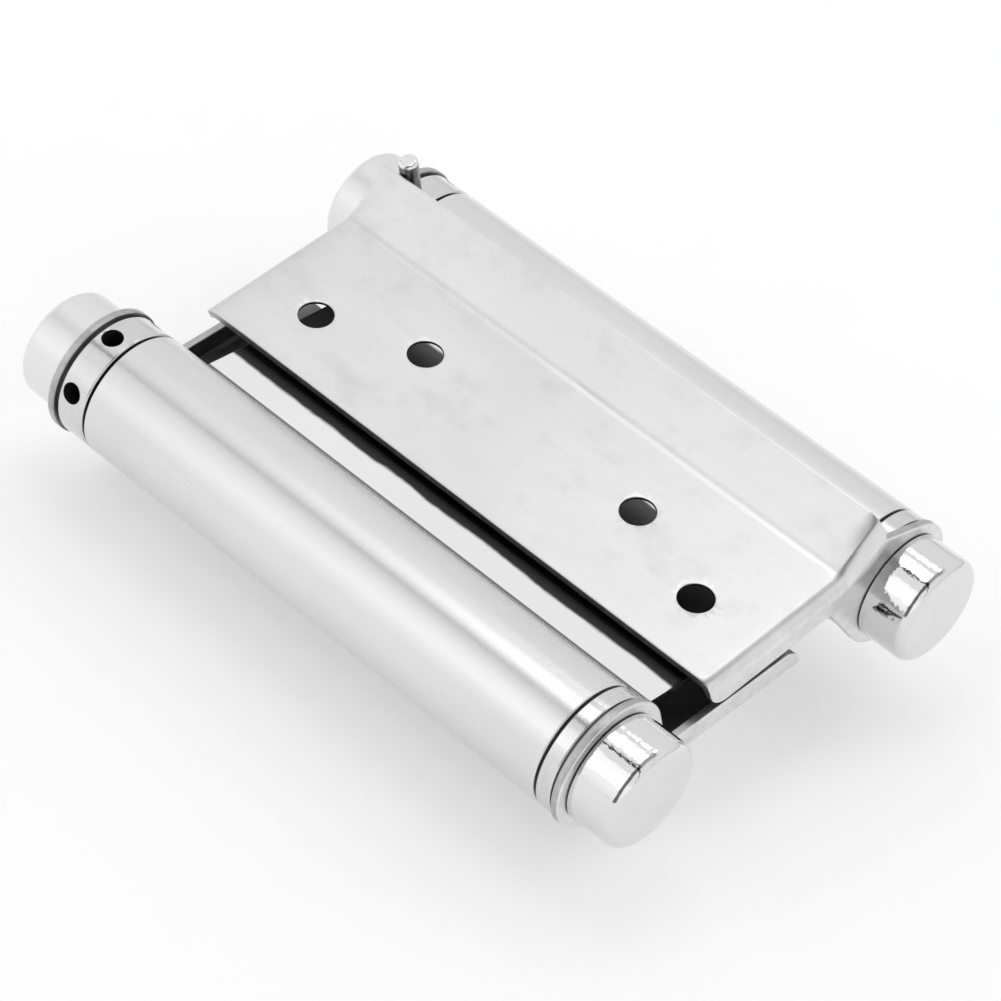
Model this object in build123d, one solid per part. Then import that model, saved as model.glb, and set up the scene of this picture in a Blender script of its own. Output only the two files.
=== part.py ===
"""Double action spring hinge with 100 mm leaves, shown closed with both leaves over the web.

Frame: X runs across the hinge from the left barrel to the right barrel, Y runs along the
barrels with the winding collars at the positive end, Z is normal to the plane through both
barrel axes. The origin lies midway between the barrels and midway along the leaves.
The two halves are the same parts turned half a turn about the Y axis.
"""
import os
from math import acos, atan2, cos, degrees, radians, sin, sqrt, tan

from build123d import *

# Overall arrangement
LEAF_LENGTH = 100.0
BARREL_PITCH = 62.0
SHEET = 1.3
UPPER_TILT = 10.35
LOWER_TILT = 6.65

# Centre body: one sheet rolled into a barrel at both edges, set back from the leaf's ends
BARREL_RADIUS = 9.75
BARREL_NEAR_SETBACK = 4.8
BARREL_FAR_SETBACK = 7.3
ROLL_BEND_RADIUS = 1.6
ROLL_SEAM_ANGLE = 5.0
WEB_FAR_TRIM = 1.3
WEB_TRIM_CLEARANCE = 0.35

# Leaf, measured from its own barrel axis: reach towards the free edge, height above the axis
LEAF_HEIGHT = 10.1
LEAF_REACH = 40.5
RAMP_START = 12.5
LIP_REACH = 4.35
LIP_HEIGHT = 15.7
RAMP_BEND_RADIUS = 4.0
FLANGE_DEPTH = 5.05
FLANGE_BEND_RADIUS = 2.2
FAR_CORNER_TOP_RELIEF = 3.5
FAR_CORNER_BOTTOM_RELIEF = 7.5
EAR_RADIUS = 10.1
EAR_ROOT_REACH = 15.3
EAR_TOP_HEIGHT = 12.6

# Screw holes, countersunk on the face that looks at the web; reach and setback from the ends
SCREW_HOLE_RADIUS = 2.7
SCREW_HEAD_RADIUS = 3.5
OUTER_ROW = (30.1, 12.5)
INNER_ROW = (24.1, 29.0)

# Spindle, washers, end plug and winding collar
SPINDLE_RADIUS = 3.0
RUNNING_CLEARANCE = 0.05
END_PLAY = 0.05
WASHER_THICKNESS = 0.4
WASHER_RADIUS = 8.9
SPIGOT_LENGTH = 5.2
SPIGOT_CLEARANCE = 0.08
SEAM_GROOVE = 0.35
PLUG_NECK_RADIUS = 9.2
EDGE_CHAMFER = 0.25
COLLAR_GAP = 0.35

# Tommy holes and tension pin; the angle is taken from the plane of the leaf
TOMMY_HOLE_COUNT = 6
TOMMY_HOLE_ANGLE = 99.35
TOMMY_HOLE_SETBACK = 3.9
TOMMY_HOLE_RADIUS = 1.6
TOMMY_HOLE_FLOOR = 5.2
PIN_CLEARANCE = 0.08
PIN_TOP = 18.1

# Torsion spring of square wire
WIRE = 2.2
COIL_RADIUS = 5.9
COIL_TURNS = 24
TANG_WIDTH = 1.9
TANG_LENGTH = 2.6
TANG_SIDESTEP = 1.2
TANG_CLEARANCE = 0.1

# Caps
CAP_RADIUS = 8.5
CAP_LENGTH = 7.9
CAP_EDGE_RADIUS = 1.5
CAP_FLOOR = 2.0

# Values that follow from the ones above
HALF_LENGTH = LEAF_LENGTH / 2
BARREL_NEAR_END = BARREL_NEAR_SETBACK - HALF_LENGTH
BARREL_FAR_END = HALF_LENGTH - BARREL_FAR_SETBACK
TOMMY_HOLE_Y = HALF_LENGTH - TOMMY_HOLE_SETBACK
EAR_INNER_Y = HALF_LENGTH - SHEET
BORE_RADIUS = BARREL_RADIUS - SHEET
PLUG_FACE_Y = -(EAR_INNER_Y - WASHER_THICKNESS - END_PLAY)
PLUG_END_Y = BARREL_NEAR_END + SPIGOT_LENGTH
COLLAR_FACE_Y = EAR_INNER_Y - WASHER_THICKNESS - END_PLAY
COLLAR_STEP_Y = BARREL_FAR_END + COLLAR_GAP
COLLAR_END_Y = BARREL_FAR_END - SPIGOT_LENGTH
PIN_RADIUS = TOMMY_HOLE_RADIUS - PIN_CLEARANCE
SPINDLE_HALF_LENGTH = HALF_LENGTH + CAP_LENGTH - CAP_FLOOR


def extrude_along_y(sketch, start, end):
    """Extrude a sketch drawn in X and Z from one Y value to another."""
    return extrude(Plane.XZ.offset(-start) * sketch, amount=end - start, dir=(0, 1, 0))


def turned(points, rounded=(), radius=0.0):
    """Revolve a closed outline of (radius, y) points about Y, rounding the listed corners."""
    outline = Polygon(*points, align=None)
    for corner in rounded:
        vertex = outline.vertices().sort_by_distance((corner[0], corner[1], 0))[0]
        outline = fillet(vertex, radius)
    return revolve(outline, Axis.Y)


def on_right(shape, tilt=0.0):
    """Place a shape drawn about its own barrel axis on the right barrel."""
    return Pos(BARREL_PITCH / 2, 0, 0) * Rot(0, -tilt, 0) * shape


def on_left(shape, tilt=0.0):
    """Place the same shape on the left barrel, half a turn about Y away."""
    return Rot(0, 180, 0) * on_right(shape, tilt)


def rolled_half():
    """Centre line from the middle of the web round the left barrel to its seam."""
    wall_radius = BARREL_RADIUS - SHEET / 2
    axis_x = -BARREL_PITCH / 2
    bend_x = axis_x + sqrt((wall_radius + ROLL_BEND_RADIUS) ** 2 - ROLL_BEND_RADIUS ** 2)
    start_angle = degrees(atan2(ROLL_BEND_RADIUS, bend_x - axis_x))
    roll_angle = 360 - ROLL_SEAM_ANGLE - start_angle
    web = Line((0, 0), (bend_x, 0))
    bend = CenterArc((bend_x, ROLL_BEND_RADIUS), ROLL_BEND_RADIUS, 270, start_angle - 90)
    roll = CenterArc((axis_x, 0), wall_radius, start_angle, roll_angle)
    return [web, bend, roll]


def make_centre_body():
    """One sheet: a flat web whose two edges are rolled into the spring barrels.

    The web stops a little short of the barrels at the end with the winding collars.
    """
    half = Sketch() + [trace(edge, line_width=SHEET) for edge in rolled_half()]
    profile = half + Rot(0, 0, 180) * half
    sheet = extrude_along_y(profile, BARREL_NEAR_END, BARREL_FAR_END)
    web_width = BARREL_PITCH - 2 * (BARREL_RADIUS + WEB_TRIM_CLEARANCE)
    return sheet - Pos(0, BARREL_FAR_END, 0) * Box(web_width, 2 * WEB_FAR_TRIM, 4 * SHEET)


def leaf_block(drop, half_length, bend_radius, overrun):
    """Solid under the leaf profile lowered by drop, with its end edges rounded over."""
    slope = atan2(LIP_HEIGHT - LEAF_HEIGHT, RAMP_START - LIP_REACH)
    corner_x = -RAMP_START + drop * tan(slope / 2)
    top = LEAF_HEIGHT - drop
    lip_x = -LIP_REACH + overrun
    lip_top = top + (lip_x - corner_x) * tan(slope)
    bottom = LEAF_HEIGHT - FLANGE_DEPTH - overrun
    free_x = -LEAF_REACH - overrun
    outline = Polygon(
        (free_x, bottom), (free_x, top), (corner_x, top), (lip_x, lip_top), (lip_x, bottom),
        align=None,
    )
    ramp_corner = outline.vertices().sort_by_distance((corner_x, top, 0))[0]
    outline = fillet(ramp_corner, RAMP_BEND_RADIUS + drop)
    if overrun == 0:
        free_corner = outline.vertices().sort_by_distance((free_x, bottom, 0))[0]
        outline = fillet(free_corner, FLANGE_DEPTH - SHEET - 0.05)
    block = extrude_along_y(outline, -half_length, half_length)
    folds = [
        edge for edge in block.edges()
        if abs(abs(edge.center().Y) - half_length) < 0.01
        and edge.center().Z > top - 0.01
        and edge.bounding_box().size.X > 0.5
        and edge.bounding_box().size.Y < 0.01
    ]
    return fillet(folds, bend_radius)


def tangent_angle(x, z, side):
    """Angle at which a line from a point touches the ear circle on the chosen side."""
    return degrees(atan2(z, x)) + side * degrees(acos(EAR_RADIUS / sqrt(x * x + z * z)))


def ear_outline():
    """Round ear with straight shoulders running into the flange and up to the lip."""
    root = (-EAR_ROOT_REACH, LEAF_HEIGHT - FLANGE_DEPTH)
    crown = (-LIP_REACH, EAR_TOP_HEIGHT)
    low = radians(tangent_angle(*root, 1))
    high = radians(tangent_angle(*crown, -1))
    shoulders = Polygon(
        root,
        (EAR_RADIUS * cos(low), EAR_RADIUS * sin(low)),
        (0, 0),
        (EAR_RADIUS * cos(high), EAR_RADIUS * sin(high)),
        crown,
        align=None,
    )
    return shoulders + Circle(EAR_RADIUS)


def screw_hole():
    """Through hole with a countersink opening downwards."""
    depth = SCREW_HEAD_RADIUS - SCREW_HOLE_RADIUS
    centre_z = LEAF_HEIGHT - SHEET / 2
    shank = Pos(0, 0, centre_z) * Cylinder(SCREW_HOLE_RADIUS, SHEET * 3)
    sink = Cone(SCREW_HEAD_RADIUS, SCREW_HOLE_RADIUS, depth)
    return shank + Pos(0, 0, LEAF_HEIGHT - SHEET + depth / 2) * sink


def far_corner_relief():
    """Piece cut from the far flange so that the plate's far corner stands free."""
    underside = LEAF_HEIGHT - SHEET
    below = LEAF_HEIGHT - FLANGE_DEPTH - 1
    outline = Polygon(
        (-LEAF_REACH - 1, below),
        (-LEAF_REACH - 1, underside),
        (-LEAF_REACH + FAR_CORNER_TOP_RELIEF, underside),
        (-LEAF_REACH + FAR_CORNER_BOTTOM_RELIEF, below),
        align=None,
    )
    return extrude_along_y(outline, HALF_LENGTH - FLANGE_BEND_RADIUS - 0.1, HALF_LENGTH + 1)


def make_leaf():
    """Pressed leaf: plate, ramp and lip, end flanges, and ears that carry the spindle."""
    pressed = leaf_block(0.0, HALF_LENGTH, FLANGE_BEND_RADIUS, 0.0)
    hollow = leaf_block(SHEET, EAR_INNER_Y, FLANGE_BEND_RADIUS - SHEET, 2.0)
    leaf = pressed - hollow
    for start in (-HALF_LENGTH, EAR_INNER_Y):
        leaf += extrude_along_y(ear_outline(), start, start + SHEET)
    leaf -= far_corner_relief()
    leaf -= extrude_along_y(Circle(SPINDLE_RADIUS), -HALF_LENGTH - 1, HALF_LENGTH + 1)
    for reach, setback in (OUTER_ROW, INNER_ROW):
        for y in (setback - HALF_LENGTH, HALF_LENGTH - setback):
            leaf -= Pos(-reach, y, 0) * screw_hole()
    return leaf


def make_spindle():
    """Plain rod with chamfered ends, fixed in both ears."""
    rod = Rot(90, 0, 0) * Cylinder(SPINDLE_RADIUS, 2 * SPINDLE_HALF_LENGTH)
    return chamfer(rod.edges().filter_by(GeomType.CIRCLE), 0.4)


def make_cap(sign):
    """Cap with a blind bore, seated on the outside of an ear."""
    face = sign * HALF_LENGTH
    end = sign * (HALF_LENGTH + CAP_LENGTH)
    floor = sign * SPINDLE_HALF_LENGTH
    outline = [
        (0, end), (CAP_RADIUS, end), (CAP_RADIUS, face),
        (SPINDLE_RADIUS, face), (SPINDLE_RADIUS, floor), (0, floor),
    ]
    return turned(outline, [(CAP_RADIUS, end)], CAP_EDGE_RADIUS)


def make_washer(start):
    """Thin bearing washer on the spindle."""
    bore = SPINDLE_RADIUS + RUNNING_CLEARANCE
    end = start + WASHER_THICKNESS
    return turned([(bore, start), (WASHER_RADIUS, start), (WASHER_RADIUS, end), (bore, end)])


def spring_tang(y, way, clearance, overlap):
    """Straight bar at a spring end, or with clearance the pocket that takes it."""
    width = TANG_WIDTH + 2 * clearance
    length = TANG_LENGTH + overlap
    centre = y + way * (TANG_LENGTH - overlap) / 2
    return Pos(COIL_RADIUS, centre, way * TANG_SIDESTEP) * Box(width, length, width)


def make_end_plug():
    """Plug pressed into the near end of a barrel; it anchors the fixed end of the spring."""
    bore = SPINDLE_RADIUS + RUNNING_CLEARANCE
    flange_end = BARREL_NEAR_END - SEAM_GROOVE
    outline = [
        (bore, PLUG_FACE_Y), (BARREL_RADIUS - EDGE_CHAMFER, PLUG_FACE_Y),
        (BARREL_RADIUS, PLUG_FACE_Y + EDGE_CHAMFER), (BARREL_RADIUS, flange_end),
        (PLUG_NECK_RADIUS, flange_end), (PLUG_NECK_RADIUS, BARREL_NEAR_END),
        (BORE_RADIUS, BARREL_NEAR_END), (BORE_RADIUS, PLUG_END_Y), (bore, PLUG_END_Y),
    ]
    return turned(outline) - spring_tang(PLUG_END_Y, -1, TANG_CLEARANCE, WIRE)


def radial(shape, angle, y):
    """Turn a shape drawn along X so that it points outwards at an angle from X towards Z."""
    return Pos(0, y, 0) * Rot(0, -angle, 0) * shape


def make_winding_collar(tilt):
    """Collar that turns in the far end of a barrel, with radial holes for the tommy bar."""
    bore = SPINDLE_RADIUS + RUNNING_CLEARANCE
    spigot = BORE_RADIUS - SPIGOT_CLEARANCE
    outline = [
        (bore, COLLAR_FACE_Y), (BARREL_RADIUS - EDGE_CHAMFER, COLLAR_FACE_Y),
        (BARREL_RADIUS, COLLAR_FACE_Y - EDGE_CHAMFER),
        (BARREL_RADIUS, COLLAR_STEP_Y + EDGE_CHAMFER),
        (BARREL_RADIUS - EDGE_CHAMFER, COLLAR_STEP_Y),
        (spigot, COLLAR_STEP_Y), (spigot, COLLAR_END_Y), (bore, COLLAR_END_Y),
    ]
    collar = turned(outline) - spring_tang(COLLAR_END_Y, 1, TANG_CLEARANCE, WIRE)
    depth = BARREL_RADIUS + 1 - TOMMY_HOLE_FLOOR
    drill = Rot(0, 90, 0) * Cylinder(TOMMY_HOLE_RADIUS, depth)
    drill = Pos(TOMMY_HOLE_FLOOR + depth / 2, 0, 0) * drill
    for step in range(TOMMY_HOLE_COUNT):
        angle = TOMMY_HOLE_ANGLE + tilt + step * 360 / TOMMY_HOLE_COUNT
        collar -= radial(drill, angle, TOMMY_HOLE_Y)
    return collar


def make_tension_pin(tilt):
    """Round pin with a domed head, standing in a tommy hole and resting on the leaf lip."""
    length = PIN_TOP - TOMMY_HOLE_FLOOR
    pin = Cylinder(PIN_RADIUS, length)
    pin = fillet(pin.edges().filter_by(GeomType.CIRCLE).sort_by(Axis.Z)[-1], PIN_RADIUS * 0.7)
    pin = chamfer(pin.edges().filter_by(GeomType.CIRCLE).sort_by(Axis.Z)[0], 0.3)
    pin = Pos(TOMMY_HOLE_FLOOR + length / 2, 0, 0) * Rot(0, 90, 0) * pin
    return radial(pin, TOMMY_HOLE_ANGLE + tilt, TOMMY_HOLE_Y)


def make_torsion_spring():
    """Close wound square wire with a straight tang at both ends."""
    start = PLUG_END_Y + WIRE / 2
    height = COLLAR_END_Y - PLUG_END_Y - WIRE
    path = Helix(height / COIL_TURNS, height, COIL_RADIUS)
    section = Plane(path @ 0, x_dir=(1, 0, 0), z_dir=path % 0) * Rectangle(WIRE, WIRE)
    coil = sweep(section, path=path, is_frenet=True)
    coil = Pos(0, start, 0) * Rot(-90, 0, 0) * coil
    for y, way in ((PLUG_END_Y, -1), (COLLAR_END_Y, 1)):
        coil += spring_tang(y, way, 0.0, WIRE / 2)
    return coil


def build_parts():
    """Make every sub-part in its place and return them by name."""
    leaf = make_leaf()
    both_sides = {
        "spindle": make_spindle(),
        "cap_near": make_cap(-1),
        "cap_far": make_cap(1),
        "washer_near": make_washer(-EAR_INNER_Y),
        "washer_far": make_washer(EAR_INNER_Y - WASHER_THICKNESS),
        "end_plug": make_end_plug(),
        "torsion_spring": make_torsion_spring(),
    }
    parts = {
        "centre_body": make_centre_body(),
        "leaf_upper": on_right(leaf, UPPER_TILT),
        "leaf_lower": on_left(leaf, LOWER_TILT),
        "winding_collar_right": on_right(make_winding_collar(UPPER_TILT)),
        "winding_collar_left": on_left(make_winding_collar(LOWER_TILT)),
        "tension_pin_right": on_right(make_tension_pin(UPPER_TILT)),
        "tension_pin_left": on_left(make_tension_pin(LOWER_TILT)),
    }
    for name, shape in both_sides.items():
        parts[name + "_right"] = on_right(shape)
        parts[name + "_left"] = on_left(shape)
    return parts


def main():
    """Write one STEP file for each sub-part."""
    os.makedirs("parts", exist_ok=True)
    for name, shape in build_parts().items():
        export_step(shape, "parts/" + name + ".step")


if __name__ == "__main__":
    main()
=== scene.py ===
"""Visual model of a double action spring hinge, dressed around its CAD frame.

Every visible piece is built from the same millimetre dimensions as the solids, on finer
meshes with rounded rims, and rides the CAD body it belongs to. Lengths below are in
millimetres and are turned into metres when a mesh is made. A leaf, a collar and a cap are
drawn about their own barrel axis and then placed on the right or the left barrel.
"""
from __future__ import annotations

import logging
import math
from dataclasses import dataclass
from enum import Enum
from typing import Callable, Iterable, Sequence

import bmesh
import bpy
from mathutils import Matrix, Vector
from mathutils.geometry import delaunay_2d_cdt


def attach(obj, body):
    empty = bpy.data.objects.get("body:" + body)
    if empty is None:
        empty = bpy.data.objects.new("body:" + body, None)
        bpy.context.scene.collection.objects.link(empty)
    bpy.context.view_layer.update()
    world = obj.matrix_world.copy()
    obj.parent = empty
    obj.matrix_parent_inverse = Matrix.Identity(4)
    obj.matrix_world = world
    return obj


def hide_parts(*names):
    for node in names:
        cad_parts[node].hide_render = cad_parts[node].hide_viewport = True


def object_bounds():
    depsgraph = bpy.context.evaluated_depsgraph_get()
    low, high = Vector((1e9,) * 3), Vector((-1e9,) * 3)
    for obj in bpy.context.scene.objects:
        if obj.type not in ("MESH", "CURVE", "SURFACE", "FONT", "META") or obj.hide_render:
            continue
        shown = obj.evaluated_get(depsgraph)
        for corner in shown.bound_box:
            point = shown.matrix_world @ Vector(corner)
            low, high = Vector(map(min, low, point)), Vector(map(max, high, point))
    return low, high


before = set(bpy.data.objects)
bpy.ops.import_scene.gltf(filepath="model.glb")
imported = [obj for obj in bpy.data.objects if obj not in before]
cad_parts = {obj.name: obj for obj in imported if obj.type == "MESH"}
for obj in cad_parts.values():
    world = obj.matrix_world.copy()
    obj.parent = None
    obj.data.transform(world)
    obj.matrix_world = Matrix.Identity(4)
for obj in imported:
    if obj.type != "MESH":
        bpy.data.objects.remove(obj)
CAD_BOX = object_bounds()

LOG = logging.getLogger("hinge")
MM = 0.001
MERGE_DISTANCE = 1e-7
AXIS_RADIUS = 1e-6
Point2 = tuple[float, float]
Level = tuple[float, float]
Triple = tuple[float, float, float]
Surface = Callable[[float, float], tuple[Vector, Vector]]


class Side(Enum):
    """Barrel that a piece sits on, with the leaf carried by it."""

    RIGHT = "right"
    LEFT = "left"

    @property
    def leaf(self) -> str:
        """Name of the leaf that swings on this barrel."""
        return "upper" if self is Side.RIGHT else "lower"


@dataclass(frozen=True)
class Layout:
    """Sizes that several pieces share, in millimetres."""

    pitch: float = 62.0
    half_length: float = 50.0
    sheet: float = 1.3
    barrel_radius: float = 9.75
    barrel_near: float = -45.2
    barrel_far: float = 42.7
    spindle_radius: float = 3.0
    upper_tilt: float = 10.35
    lower_tilt: float = 6.65

    def tilt(self, side: Side) -> float:
        """Lean of the leaf on a side at rest, in degrees."""
        return self.upper_tilt if side is Side.RIGHT else self.lower_tilt

    def placement(self, side: Side, tilt: float = 0.0) -> Matrix:
        """Matrix in metres that puts a shape drawn about a barrel axis on its barrel.

        The tilt in degrees leans the shape about that axis, towards the other barrel.
        """
        place = Matrix.Translation((self.pitch / 2 * MM, 0, 0))
        place = place @ Matrix.Rotation(math.radians(-tilt), 4, "Y")
        if side is Side.LEFT:
            place = Matrix.Rotation(math.pi, 4, "Y") @ place
        return place @ Matrix.Scale(MM, 4)


LAYOUT = Layout()
EAR_ROOTS = {Side.RIGHT: 15.3, Side.LEFT: 12.2}


def arc_points(
    centre: Point2, radius: float, start: float, end: float, steps: int
) -> list[Point2]:
    """Evenly spaced points along an arc, from one angle in degrees to another."""
    angles = [math.radians(start + (end - start) * i / steps) for i in range(steps + 1)]
    return [(centre[0] + radius * math.cos(a), centre[1] + radius * math.sin(a)) for a in angles]


def between(one: Point2, two: Point2, steps: int) -> list[Point2]:
    """Evenly spaced points from one point to another."""
    return [
        (one[0] + (two[0] - one[0]) * k / steps, one[1] + (two[1] - one[1]) * k / steps)
        for k in range(steps + 1)
    ]


def rounded_polygon(corners: Sequence[Triple], steps: int = 5) -> list[Point2]:
    """Closed outline through corners given as x, y and corner radius."""
    outline: list[Point2] = []
    count = len(corners)
    for i, (x, y, radius) in enumerate(corners):
        here = Vector((x, y))
        if radius <= 0:
            outline.append((x, y))
            continue
        before = (Vector(corners[i - 1][:2]) - here).normalized()
        after = (Vector(corners[(i + 1) % count][:2]) - here).normalized()
        half = before.angle(after) / 2
        reach = radius / math.tan(half)
        middle = here + (before + after).normalized() * (radius / math.sin(half))
        first = here + before * reach - middle
        last = here + after * reach - middle
        for k in range(steps + 1):
            spoke = first.slerp(last, k / steps) * radius
            outline.append((middle.x + spoke.x, middle.y + spoke.y))
    return outline


def encloses(ring: Sequence[Point2], point: Point2) -> bool:
    """Whether a closed ring of points goes round a point."""
    x, y = point
    inside = False
    for (x0, y0), (x1, y1) in zip(ring, [*ring[1:], ring[0]]):
        if (y0 > y) != (y1 > y) and x < x0 + (y - y0) * (x1 - x0) / (y1 - y0):
            inside = not inside
    return inside


def new_object(name: str, data: bpy.types.ID) -> bpy.types.Object:
    """Make an object and link it to the scene."""
    made = bpy.data.objects.new(name, data)
    bpy.context.scene.collection.objects.link(made)
    return made


class MeshMaker:
    """Collects vertices and faces of one piece and turns them into an object."""

    def __init__(self) -> None:
        """Start with an empty mesh."""
        self.points: list[Vector] = []
        self.faces: list[tuple[int, ...]] = []
        self.kinds: list[int] = []

    def add_points(self, points: Iterable[Vector]) -> list[int]:
        """Add points and return their indices."""
        first = len(self.points)
        self.points.extend(points)
        return list(range(first, len(self.points)))

    def add_face(self, corners: tuple[int, ...], kind: int = 0) -> None:
        """Add one face that takes the material at the index given by its kind."""
        self.faces.append(corners)
        self.kinds.append(kind)

    def bridge(self, one: Sequence[int], two: Sequence[int], kind: int = 0) -> None:
        """Join two closed rows of points of equal length with four sided faces."""
        for a, b, c, d in zip(one, [*one[1:], one[0]], [*two[1:], two[0]], two):
            self.add_face((a, b, c, d), kind)

    def build(
        self, name: str, place: Matrix, materials: Sequence[bpy.types.Material],
        sharp_angle: float = 50.0,
    ) -> bpy.types.Object:
        """Make a smooth shaded object in its place.

        The materials go to the faces by kind. Edges above an angle in degrees stay sharp.
        """
        mesh = bpy.data.meshes.new(name)
        mesh.from_pydata([place @ point for point in self.points], [], self.faces)
        for material in materials:
            mesh.materials.append(material)
        for face, kind in zip(mesh.polygons, self.kinds):
            face.material_index = kind
        mesh.validate()
        mesh.shade_smooth()
        mesh.set_sharp_from_angle(angle=math.radians(sharp_angle))
        piece = new_object(name, mesh)
        face_outwards(piece)
        shade_evenly(piece)
        return piece


def face_outwards(piece: bpy.types.Object) -> None:
    """Point every face of a closed mesh outwards."""
    work = bmesh.new()
    work.from_mesh(piece.data)
    bmesh.ops.remove_doubles(work, verts=work.verts, dist=MERGE_DISTANCE)
    bmesh.ops.recalc_face_normals(work, faces=work.faces)
    work.to_mesh(piece.data)
    work.free()


def shade_evenly(piece: bpy.types.Object) -> None:
    """Weigh normals by face area, so that large faces look flat beside rounded rims."""
    weigh = piece.modifiers.new("even shading", "WEIGHTED_NORMAL")
    weigh.keep_sharp = True


def lathe(
    outline: Sequence[Point2], segments: int = 144, dark: Point2 = (0.0, 0.0)
) -> MeshMaker:
    """Turn a closed outline of (radius, y) points about the Y axis.

    Points on the axis close the solid. Faces whose outer radius lies in the dark range take
    the second material.
    """
    maker = MeshMaker()
    rows: list[list[int]] = []
    for radius, y in outline:
        if radius < AXIS_RADIUS:
            rows.append(maker.add_points([Vector((0, y, 0))]) * segments)
            continue
        spokes = (2 * math.pi * k / segments for k in range(segments))
        rows.append(maker.add_points(
            Vector((radius * math.cos(a), y, radius * math.sin(a))) for a in spokes
        ))
    widths = [radius for radius, _ in outline]
    spans = zip(rows, rows[1:] + rows[:1], widths, widths[1:] + widths[:1])
    for one, two, width, next_width in spans:
        if one[0] == one[1] and two[0] == two[1]:
            continue
        kind = 1 if dark[0] <= max(width, next_width) <= dark[1] else 0
        for i in range(segments):
            j = (i + 1) % segments
            ring = (one[i], one[j], two[j], two[i])
            maker.add_face(tuple(dict.fromkeys(ring)), kind)
    return maker


@dataclass
class Loop:
    """Closed edge of a sheet in its flat pattern, with the shape of its rim.

    Attributes:
        points: points of the nominal edge in the flat pattern.
        levels: pairs of outward offset and depth, from the front face to the back face.
        worn: number of rim rows, counted from the front, that keep the face's finish.
        kind: material index of the other rim rows.
        hole: whether the loop bounds a hole.
    """

    points: list[Point2]
    levels: list[Level]
    worn: int
    kind: int
    hole: bool = False

    def outward(self) -> list[Vector]:
        """Unit vectors at each point, away from the material."""
        before = self.points[-1:] + self.points[:-1]
        after = self.points[1:] + self.points[:1]
        area = sum(x * next_y - next_x * y for (x, y), (next_x, next_y) in zip(self.points, after))
        turn = -1.0 if (area > 0) == self.hole else 1.0
        return [
            Vector(((y1 - y0) * turn, (x0 - x1) * turn)).normalized()
            for (x0, y0), (x1, y1) in zip(before, after)
        ]

    def ring(self, offset: float) -> list[Point2]:
        """Points of the edge moved outwards by an offset."""
        moved = zip(self.points, self.outward())
        return [(x + v.x * offset, y + v.y * offset) for (x, y), v in moved]


@dataclass
class FormedSheet:
    """Sheet of even thickness cut from a flat pattern and laid on a curved surface.

    Attributes:
        surface: gives a point of the front face and its normal for a flat pattern point.
        loops: outer edge first, then the holes.
        inner_points: extra flat pattern points that carry the curvature.
        thickness: thickness of the sheet.
    """

    surface: Surface
    loops: list[Loop]
    inner_points: list[Point2]
    thickness: float

    def at(self, point: Point2, depth: float) -> Vector:
        """Place of a flat pattern point at a depth under the front face."""
        place, normal = self.surface(*point)
        return place - normal * depth

    def face(self, maker: MeshMaker, level: int, depth: float, kind: int) -> list[list[int]]:
        """Add the front or back face, which ends at one of the rim levels.

        Returns:
            For each loop, the indices of its points on this face.
        """
        flat: list[Vector] = []
        edges: list[tuple[int, int]] = []
        spans: list[range] = []
        rings = [loop.ring(loop.levels[level][0]) for loop in self.loops]
        for ring in rings:
            start = len(flat)
            flat.extend(Vector(p) for p in ring)
            spans.append(range(start, len(flat)))
            edges.extend(zip(spans[-1], [*spans[-1][1:], start]))
        flat.extend(Vector(p) for p in self.inner_points if self.clear_of_rims(p))
        found, _, faces, origins, _, _ = delaunay_2d_cdt(flat, edges, [], 1, MERGE_DISTANCE)
        ids = maker.add_points(self.at((p.x, p.y), depth) for p in found)
        back = {source: ids[i] for i, group in enumerate(origins) for source in group}
        holes = [ring for ring, loop in zip(rings, self.loops) if loop.hole]
        for face in faces:
            middle = sum((found[i] for i in face), Vector((0, 0))) / len(face)
            if not any(encloses(ring, (middle.x, middle.y)) for ring in holes):
                maker.add_face(tuple(ids[i] for i in face), kind)
        return [[back[i] for i in span] for span in spans]

    def clear_of_rims(self, point: Point2, gap: float = 0.3) -> bool:
        """Whether a flat pattern point keeps a gap from every edge."""
        return all(
            (point[0] - x) ** 2 + (point[1] - y) ** 2 > gap * gap
            for loop in self.loops for x, y in loop.points
        )

    def build(self) -> MeshMaker:
        """Make the closed mesh of the sheet with its rims."""
        maker = MeshMaker()
        front = self.face(maker, 0, 0.0, 0)
        back = self.face(maker, -1, self.thickness, 1)
        for loop, first, last in zip(self.loops, front, back):
            rows = [first]
            for offset, depth in loop.levels[1:-1]:
                rows.append(maker.add_points(self.at(p, depth) for p in loop.ring(offset)))
            rows.append(last)
            for number, (one, two) in enumerate(zip(rows, rows[1:])):
                maker.bridge(one, two, 0 if number < loop.worn else loop.kind)
        return maker


def sheared_rim(thickness: float, front: float, back: float, steps: int = 3) -> list[Level]:
    """Levels of an edge with a rounded front corner and a rounded back corner."""
    first = arc_points((-front, front), front, -90, 0, steps)
    return first + arc_points((-back, thickness - back), back, 0, 90, steps)


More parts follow.
